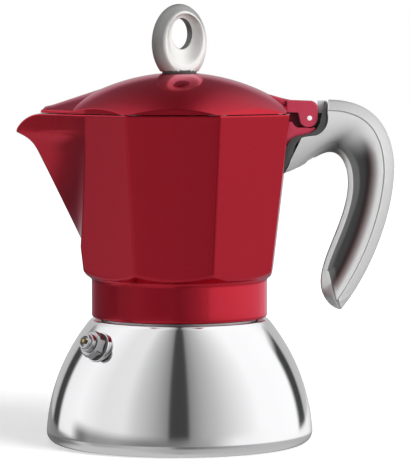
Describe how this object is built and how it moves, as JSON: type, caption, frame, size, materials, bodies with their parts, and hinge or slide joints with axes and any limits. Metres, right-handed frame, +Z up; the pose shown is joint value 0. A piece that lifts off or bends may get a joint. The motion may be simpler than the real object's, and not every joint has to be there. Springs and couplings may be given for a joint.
{
  "type": "moka pot",
  "caption": "Stove-top moka pot with a bell-shaped steel-clad boiler, an octagonal collector with a spout, a hinged domed lid and a hooked handle",
  "frame": {"origin": "centre of the boiler's base, on the surface that the pot stands on", "axes": "+Z up, +X towards the handle, -X towards the spout, -Y towards the octagon's front facet"},
  "size_m": [0.1672, 0.1176, 0.1933],
  "materials": {
    "polished_steel": "polished",
    "satin_steel": "satin",
    "bare_aluminium": "satin",
    "brass": "satin",
    "black_rubber": "matte",
    "white_rubber": "matte",
    "red_paint": "gloss metallic",
    "grey_nylon": "satin metallic",
    "black_nylon": "matte"
  },
  "bodies": {
    "boiler": {"boiler_shell": "polished_steel", "boiler_liner": "bare_aluminium", "valve_washer": "black_rubber", "valve_body": "satin_steel", "valve_cap": "satin_steel"},
    "valve_core": {"valve_plunger": "brass", "valve_seal": "black_rubber", "valve_spring": "satin_steel"},
    "funnel": {"funnel_basket": "bare_aluminium", "funnel_tube": "bare_aluminium", "funnel_strainer": "bare_aluminium"},
    "seal": {"gasket": "white_rubber"},
    "filter": {"filter_plate": "bare_aluminium"},
    "top": {"collector": "red_paint", "hinge_pin": "satin_steel", "handle": "grey_nylon", "handle_insert": "black_nylon", "handle_screw": "satin_steel"},
    "cover": {"lid": "red_paint", "knob": "grey_nylon", "knob_washer": "black_nylon", "knob_screw": "satin_steel"}
  },
  "joints": [
    {"name": "valve_slide", "type": "slide", "parent": "boiler", "child": "valve_core", "axis": [-0.6556, -0.6556, 0.3746], "range_m": [0, 0.0015], "stiffness_N_per_m": 2000},
    {"name": "funnel_lift", "type": "slide", "parent": "boiler", "child": "funnel", "axis": [0, 0, 1], "range_m": [0, 0.09]},
    {"name": "collector_lift", "type": "slide", "parent": "funnel", "child": "seal", "axis": [0, 0, 1], "range_m": [0, 0.1]},
    {"name": "thread_rise", "type": "slide", "parent": "seal", "child": "filter", "axis": [0, 0, 1], "range_m": [0, 0.0045]},
    {"name": "collector_turn", "type": "hinge", "parent": "filter", "child": "top", "pos_m": [0, 0, 0.06], "axis": [0, 0, 1], "range_deg": [0, 540]},
    {"name": "lid_hinge", "type": "hinge", "parent": "top", "child": "cover", "pos_m": [0.05746, 0, 0.14335], "axis": [0, 1, 0], "range_deg": [0, 90]}
  ],
  "couplings": [
    {"joint": "thread_rise", "follows": "collector_turn", "m_per_rad": 0.00047746}
  ]
}
